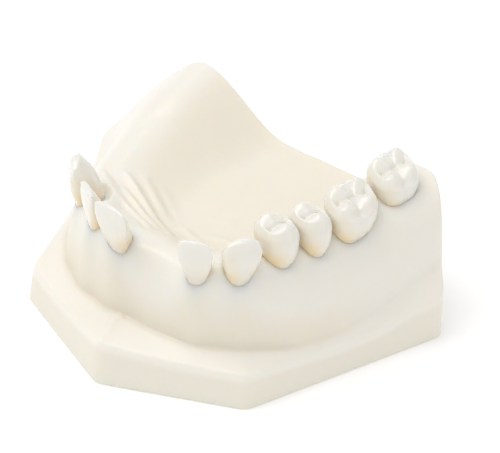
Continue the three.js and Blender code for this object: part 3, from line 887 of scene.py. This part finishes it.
def screw_rings(tooth):
    """Turned head with rounded edges and a threaded shank, the thread a wave that climbs as it turns."""
    low = tooth.head_end
    seat = low + HEAD_HEIGHT
    tip = tooth.screw_tip
    turn = np.linspace(0.0, np.pi / 2, 6)
    head = [(HEAD_RADIUS - HEAD_CHAMFER, low)]
    head += [
        (HEAD_RADIUS - HEAD_CHAMFER * (1 - math.sin(a)), low + HEAD_CHAMFER * (1 - math.cos(a)))
        for a in turn[1:]
    ]
    head += [(HEAD_RADIUS, seat - HEAD_EDGE), (HEAD_RADIUS - HEAD_EDGE, seat)]
    head += [(SHANK_RADIUS + SHANK_FILLET, seat), (SHANK_RADIUS, seat + SHANK_FILLET)]
    plain = turned_rings(head, SCREW_SIDES)
    count = int((tip - seat - THREAD_START) / THREAD_PITCH * RINGS_PER_TURN)
    height = np.linspace(seat + THREAD_START, tip, count)[:, None]
    angle = np.linspace(0.0, 2 * np.pi, SCREW_SIDES, endpoint=False)[None, :]
    wave = np.abs(((height / THREAD_PITCH - angle / (2 * np.pi)) % 1.0) * 2 - 1)
    from_tip = step01((tip - height) / TIP_LENGTH)
    ends = step01((height - seat - THREAD_START) / THREAD_FADE) * from_tip
    radius = SHANK_RADIUS * (TIP_SHARE + (1 - TIP_SHARE) * from_tip) + THREAD_CREST * wave * ends
    shank = np.stack([radius * np.cos(angle), radius * np.sin(angle), height + 0 * angle], -1)
    return np.concatenate([plain, shank])


def box_cutter(name, width, length, depth, height, tooth):
    """Long closed box across a tooth's axis, centred at a local height."""
    corners = np.array([(-1, -1), (1, -1), (1, 1), (-1, 1)]) * (length / 2, width / 2)
    rings = np.stack([np.column_stack([corners, np.full(4, height + depth * k)]) for k in (-1, 1)])
    return add_object(name, closed_mesh(name, tooth.to_frame(rings)))


# ---- Materials ----


def node(tree, kind, **inputs):
    """A shader node with its inputs set: a plain value sets the socket, a socket is linked to it."""
    made = tree.nodes.new(kind)
    for name, value in inputs.items():
        socket = made.inputs[name.replace("_", " ")]
        if isinstance(value, bpy.types.NodeSocket):
            tree.links.new(value, socket)
        else:
            socket.default_value = value
    return made


def maths(tree, operation, a, b=None):
    made = tree.nodes.new("ShaderNodeMath")
    made.operation = operation
    for index, value in enumerate((a, b)):
        if isinstance(value, bpy.types.NodeSocket):
            tree.links.new(value, made.inputs[index])
        elif value is not None:
            made.inputs[index].default_value = value
    return made.outputs[0]


def blend_colour(tree, share, first, second):
    made = tree.nodes.new("ShaderNodeMix")
    made.data_type = "RGBA"
    for socket, value in ((made.inputs[0], share), (made.inputs[6], first), (made.inputs[7], second)):
        if isinstance(value, bpy.types.NodeSocket):
            tree.links.new(value, socket)
        else:
            socket.default_value = value
    return made.outputs[2]


def object_places(tree):
    return tree.nodes.new("ShaderNodeTexCoord").outputs["Object"]


def noise(tree, places, scale, detail=2.0, roughness=0.5):
    made = node(tree, "ShaderNodeTexNoise", Vector=places, Scale=scale, Detail=detail, Roughness=roughness)
    return made.outputs["Fac"]


def attribute(tree, name):
    made = tree.nodes.new("ShaderNodeAttribute")
    made.attribute_name = name
    return made.outputs["Fac"]


def cast_plastic_group():
    """Effect shared by the plastics: a soft cloudy tone, a fine cast skin and a slow waviness.

    Tone is 0 to 1 over about a centimetre, Skin is the height of the fine texture, and Waves the
    height of the slow one.
    """
    group = bpy.data.node_groups.new("cast_plastic", "ShaderNodeTree")
    for name, start in (("Cloud Scale", 90.0), ("Skin Scale", 2400.0)):
        socket = group.interface.new_socket(name, in_out="INPUT", socket_type="NodeSocketFloat")
        socket.default_value = start
    for name in ("Tone", "Skin", "Waves"):
        group.interface.new_socket(name, in_out="OUTPUT", socket_type="NodeSocketFloat")
    enter = group.nodes.new("NodeGroupInput")
    leave = group.nodes.new("NodeGroupOutput")
    places = object_places(group)
    tone = noise(group, places, enter.outputs["Cloud Scale"], 3.0, 0.55)
    skin = noise(group, places, enter.outputs["Skin Scale"], 2.0, 0.6)
    waves = noise(group, places, maths(group, "MULTIPLY", enter.outputs["Cloud Scale"], 3.0), 1.0)
    for name, value in (("Tone", tone), ("Skin", skin), ("Waves", waves)):
        group.links.new(value, leave.inputs[name])
    return group


cast_plastic = cast_plastic_group()


def new_material(name):
    material = bpy.data.materials.new(name)
    material.use_nodes = True
    return material, material.node_tree, material.node_tree.nodes["Principled BSDF"]


def bump_normal(tree, height, distance):
    made = node(tree, "ShaderNodeBump", Height=height, Strength=1.0, Distance=distance)
    return made.outputs["Normal"]


def plastic_effect(tree, cloud_scale, skin_scale):
    made = tree.nodes.new("ShaderNodeGroup")
    made.node_tree = cast_plastic
    made.inputs["Cloud Scale"].default_value = cloud_scale
    made.inputs["Skin Scale"].default_value = skin_scale
    return made.outputs


def ivory_plastic():
    """Satin cream casting: cloudy, with painted warm shade in its hollows, amber at the teeth, duller
    where trimmed.
    """
    material, tree, shader = new_material("ivory_plastic")
    effect = plastic_effect(tree, 70.0, 1700.0)
    cream = blend_colour(tree, effect["Tone"], (0.89, 0.848, 0.76, 1), (0.92, 0.884, 0.815, 1))
    # Painted shade: a darker, warmer cream down in the palate and at the foot of the outer wall.
    hollow_shaded_cream = blend_colour(tree, attribute(tree, "hollow_warmth"), cream, (0.86, 0.785, 0.64, 1))
    tinted = blend_colour(tree, attribute(tree, "neck_shade"), hollow_shaded_cream, (0.85, 0.69, 0.43, 1))
    trimmed = attribute(tree, "trimmed")
    tree.links.new(blend_colour(tree, trimmed, tinted, (0.86, 0.82, 0.72, 1)), shader.inputs["Base Color"])
    rough = maths(tree, "MULTIPLY_ADD", trimmed, 0.16)
    rough.node.inputs[2].default_value = 0.34
    tree.links.new(rough, shader.inputs["Roughness"])
    height = maths(tree, "ADD", effect["Waves"], maths(tree, "MULTIPLY", effect["Skin"], 0.16))
    tree.links.new(bump_normal(tree, height, 0.00012), shader.inputs["Normal"])
    shader.inputs["Subsurface Weight"].default_value = 0.4
    shader.inputs["Subsurface Radius"].default_value = (1.0, 0.72, 0.42)
    shader.inputs["Subsurface Scale"].default_value = 0.003
    shader.inputs["IOR"].default_value = 1.49
    return material


def tooth_enamel():
    """Glossy tooth plastic: whiter than the gum, warmer at the neck, with a faint cloudy tone."""
    material, tree, shader = new_material("tooth_enamel")
    effect = plastic_effect(tree, 190.0, 3000.0)
    white = blend_colour(tree, effect["Tone"], (0.838, 0.815, 0.752, 1), (0.872, 0.853, 0.797, 1))
    neck = blend_colour(tree, attribute(tree, "neck_warmth"), white, (0.815, 0.755, 0.63, 1))
    amber = blend_colour(tree, attribute(tree, "neck_shade"), neck, (0.87, 0.70, 0.42, 1))
    tree.links.new(amber, shader.inputs["Base Color"])
    rough = maths(tree, "MULTIPLY_ADD", effect["Tone"], 0.1)
    rough.node.inputs[2].default_value = 0.13
    tree.links.new(rough, shader.inputs["Roughness"])
    height = maths(tree, "ADD", effect["Waves"], maths(tree, "MULTIPLY", effect["Skin"], 0.06))
    tree.links.new(bump_normal(tree, height, 0.00006), shader.inputs["Normal"])
    shader.inputs["Subsurface Weight"].default_value = 0.5
    shader.inputs["Subsurface Radius"].default_value = (1.0, 0.8, 0.55)
    shader.inputs["Subsurface Scale"].default_value = 0.0026
    shader.inputs["Coat Weight"].default_value = 0.35
    shader.inputs["Coat Roughness"].default_value = 0.08
    shader.inputs["IOR"].default_value = 1.52
    return material


def screw_steel():
    """Bright turned steel with fine tool marks and a slightly worn tone."""
    material, tree, shader = new_material("screw_steel")
    places = object_places(tree)
    tone = noise(tree, places, 900.0, 3.0, 0.6)
    colour = blend_colour(tree, tone, (0.50, 0.51, 0.52, 1), (0.68, 0.69, 0.70, 1))
    tree.links.new(colour, shader.inputs["Base Color"])
    rough = maths(tree, "MULTIPLY_ADD", tone, 0.2)
    rough.node.inputs[2].default_value = 0.2
    tree.links.new(rough, shader.inputs["Roughness"])
    marks = noise(tree, places, 5200.0, 2.0, 0.7)
    tree.links.new(bump_normal(tree, marks, 0.00002), shader.inputs["Normal"])
    shader.inputs["Metallic"].default_value = 1.0
    return material


ivory = ivory_plastic()
enamel = tooth_enamel()
steel = screw_steel()

# ---- Pieces ----


# Strengths of the painted warm shade in the palate and low on the outer wall.
PALATE_PAINTED_SHADE = 0.5
FOOT_PAINTED_SHADE = 0.6

# How amber each side of a tooth is: strong where light comes through between two teeth.
TOWARD_MIDDLE_AMBER = {"right_lateral_incisor": 0.08, "left_central_incisor": 0.7}
AWAY_AMBER = {"right_lateral_incisor": 0.8}


def mesial_share(tooth, local):
    """0 to 1 toward the tooth's side that faces the midline."""
    return step01((tooth.side * (local[:, 0] - tooth.lean * local[:, 1]) / tooth.width - 0.02) / 0.34)


def distal_share(tooth, local):
    """0 to 1 toward the tooth's side that faces away from the midline."""
    return step01((-tooth.side * (local[:, 0] - tooth.lean * local[:, 1]) / tooth.width - 0.12) / 0.34)


def make_tooth(tooth):
    """Crown and root peg, with the screw's hole up into the root."""
    name = f"{tooth.name}_crown"
    piece = add_object(name, closed_mesh(name, tooth.to_frame(tooth_rings(tooth))))
    cut(piece, rod("hole", HOLE_RADIUS, tooth.root_end - 2.0, tooth.screw_tip + HOLE_SPARE, tooth))
    shade(piece)
    local = tooth.to_local(mesh_points(piece))
    share = -local[:, 2] / tooth.shape["crown"]
    low = bump_of(np.maximum(0.0, 0.92 - share), 0.36)
    toward = TOWARD_MIDDLE_AMBER.get(tooth.name, 0.95) * mesial_share(tooth, local)
    sides = toward + AWAY_AMBER.get(tooth.name, 0.4) * distal_share(tooth, local)
    flank = 0.3 * toward**3 * step01((share - 0.08) / 0.3)
    amber = np.clip(np.maximum(low * sides, flank), 0.0, 1.0)
    paint(piece, "neck_shade", amber * step01((1.25 - share) / 0.2))
    paint(piece, "neck_warmth", step01((share - 0.45) / 0.5))
    finish_piece(piece, tooth.name, tooth.name, enamel)


def make_screw(tooth):
    """Threaded screw with a driver slot across its head."""
    name = f"{tooth.screw}_turned"
    piece = add_object(name, closed_mesh(name, tooth.to_frame(screw_rings(tooth))))
    slot = box_cutter("slot", SLOT_WIDTH, 3 * HEAD_RADIUS, SLOT_DEPTH, tooth.head_end, tooth)
    cut(piece, slot)
    shade(piece, 32.0)
    finish_piece(piece, tooth.screw, tooth.screw, steel)


def make_jaw():
    """The casting, with a socket, a screw hole and a counterbore cut for each tooth."""
    piece = add_object("jaw_casting", closed_mesh("jaw_casting", jaw_rings()))
    cutters = []
    for tooth in teeth:
        seat = tooth.head_end + HEAD_HEIGHT
        socket = closed_mesh("socket", tooth.to_frame(tooth_rings(tooth, FIT_GAP)))
        cutters.append(add_object("socket", socket))
        cutters.append(rod("shaft", HOLE_RADIUS, seat - CUT_OVERLAP, tooth.root_end + CUT_OVERLAP, tooth))
        bore = HEAD_RADIUS + HEAD_CLEARANCE
        cutters.append(rod("counterbore", bore, seat - BORE_DEPTH, seat + HEAD_CLEARANCE, tooth))
    cut(piece, *cutters)
    shade(piece)
    points = mesh_points(piece)
    amber = np.zeros(len(points))
    for tooth in teeth:
        beside, local = tooth.beside(points)
        sides = 0.5 * TOWARD_MIDDLE_AMBER.get(tooth.name, 0.95) * mesial_share(tooth, local)
        sides = sides + 0.5 * AWAY_AMBER.get(tooth.name, 0.4) * distal_share(tooth, local)
        above = step01((local[:, 2] + tooth.shape["crown"] + 2.0) / 1.5)
        amber = np.maximum(amber, sides * above * bump_of(np.maximum(0.0, beside), 0.45))
    paint(piece, "neck_shade", amber)
    paint(piece, "trimmed", trimmed_share(points))
    # Painted shade for the hollows of the casting.
    paint(piece, "hollow_warmth", hollow_warmth(points))
    finish_piece(piece, "jaw", "jaw_base", ivory)


def hollow_warmth(points):
    """Painted warm shade down in the palate and low on the outer wall, where shade and bounced light fall;
    0 elsewhere.
    """
    x, y = points[:, 0], points[:, 1]
    place, outward = ridge_place(x, y)
    past_foot = outward - smooth_curve(place, STATION_PLACES, REACH)
    palate = PALATE_PAINTED_SHADE * step01((-outward - 2.5) / 5.0)
    wall = step01((past_foot + 1.6) / 1.2) * (1 - step01((past_foot - 0.1) / 1.0))
    return palate + FOOT_PAINTED_SHADE * wall * step01((0.8 - np.abs(place)) / 0.2)


TRIM_DEPTH = 0.8
BACK_MARGIN = 0.2


def trimmed_share(points):
    """1 on the trimmed sides and the underside, 0 on the moulded surface above them."""
    x, y, z = points.T
    near_edge = rim_distance(x, y) < TRIM_DEPTH
    back = y > HEEL_CORNER[1] - BACK_MARGIN
    below = z < smooth_curve(ridge_place(x, y)[0], STATION_PLACES, RIM) - RIM_ROUND
    return ((near_edge & below) | back | (z < FOOT_ROUND)).astype(float)


make_jaw()
for each_tooth in teeth:
    make_tooth(each_tooth)
    make_screw(each_tooth)

# ---- Floor and light ----

FLOOR_SIZE = 3.0
FLOOR_GLOW = 0.16
WORLD_STRENGTH = 0.61

# Name, then metres to camera right, toward the camera and up, then size and watts.
LIGHTS = [
    ("key", -0.28, -0.02, 0.75, 0.7, 3.3),
    ("fill", 0.7, 0.35, 0.35, 0.6, 0.5),
    ("back", 0.1, -0.7, 0.55, 0.5, 0.2),
]


def add_floor():
    """Wide pale floor, just under the part."""
    half = FLOOR_SIZE / 2
    level = cad_bounds[0].z - 0.00005
    corners = [(-half, -half, level), (half, -half, level), (half, half, level), (-half, half, level)]
    mesh = bpy.data.meshes.new("floor")
    mesh.from_pydata(corners, [], [(0, 1, 2, 3)])
    floor = add_object("floor", mesh)
    material, tree, shader = new_material("pale_floor")
    grain = noise(tree, object_places(tree), 6.0)
    colour = blend_colour(tree, grain, (0.93, 0.93, 0.93, 1), (0.95, 0.95, 0.95, 1))
    tree.links.new(colour, shader.inputs["Base Color"])
    shader.inputs["Roughness"].default_value = 0.7
    shader.inputs["Specular IOR Level"].default_value = 0.2
    shader.inputs["Emission Color"].default_value = (1.0, 1.0, 1.0, 1.0)
    shader.inputs["Emission Strength"].default_value = FLOOR_GLOW
    mesh.materials.append(material)


def add_area(name, aside, toward, above, size, power):
    """Square soft light placed by metres to camera right, toward the camera and up, aimed at the part."""
    right = view_axes()[0]
    front = Vector((math.sin(CAMERA_AZIMUTH), -math.cos(CAMERA_AZIMUTH), 0.0))
    middle = (cad_bounds[0] + cad_bounds[1]) / 2
    light = bpy.data.lights.new(name, "AREA")
    light.size = size
    light.energy = power
    lamp = bpy.data.objects.new(name, light)
    offset = right * aside + front * toward + Vector((0, 0, above))
    lamp.location = middle + offset
    lamp.rotation_mode = "QUATERNION"
    lamp.rotation_quaternion = (-offset).to_track_quat("-Z", "Y")
    bpy.context.scene.collection.objects.link(lamp)


def add_world(strength):
    world = bpy.data.worlds.new("studio")
    world.use_nodes = True
    background = world.node_tree.nodes["Background"]
    background.inputs["Color"].default_value = (1.0, 1.0, 1.0, 1.0)
    background.inputs["Strength"].default_value = strength
    bpy.context.scene.world = world


add_floor()
add_world(WORLD_STRENGTH)
for light_row in LIGHTS:
    add_area(*light_row)
bpy.context.scene.view_settings.view_transform = "Standard"
